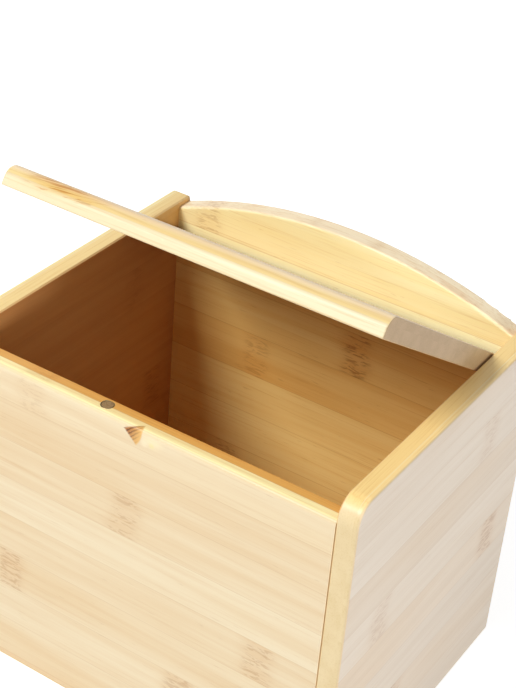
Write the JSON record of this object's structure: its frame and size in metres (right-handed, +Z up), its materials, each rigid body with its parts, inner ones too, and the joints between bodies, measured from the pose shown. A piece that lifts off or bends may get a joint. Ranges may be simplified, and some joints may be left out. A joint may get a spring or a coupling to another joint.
{
  "type": "salt box",
  "caption": "Laminated bamboo salt box with an arched back board and a nosed lid that swings up between the side boards on hidden pins and closes on a disc magnet.",
  "frame": {"origin": "middle of the box's footprint, on the surface that it stands on", "axes": "+Z up, +X to the right as seen from the front, the front faces -Y"},
  "size_m": [0.166, 0.132, 0.2006],
  "materials": {
    "bamboo": "clear satin lacquer",
    "dowel_wood": "bare",
    "pin_steel": "drawn",
    "magnet_metal": "dull plated"
  },
  "bodies": {
    "box": {"left_side_panel": "bamboo", "right_side_panel": "bamboo", "front_panel": "bamboo", "back_panel": "bamboo", "base_panel": "bamboo", "front_magnet": "magnet_metal", "front_left_dowels": "dowel_wood", "front_right_dowels": "dowel_wood", "back_left_dowels": "dowel_wood", "back_right_dowels": "dowel_wood"},
    "lid": {"lid": "bamboo", "lid_magnet": "magnet_metal", "left_hinge_pin": "pin_steel", "right_hinge_pin": "pin_steel"}
  },
  "joints": [
    {"name": "lid_hinge", "type": "hinge", "parent": "box", "child": "lid", "pos_m": [0, 0.0391, 0.141], "axis": [-1, 0, 0], "range_deg": [-34, 96.5]}
  ]
}
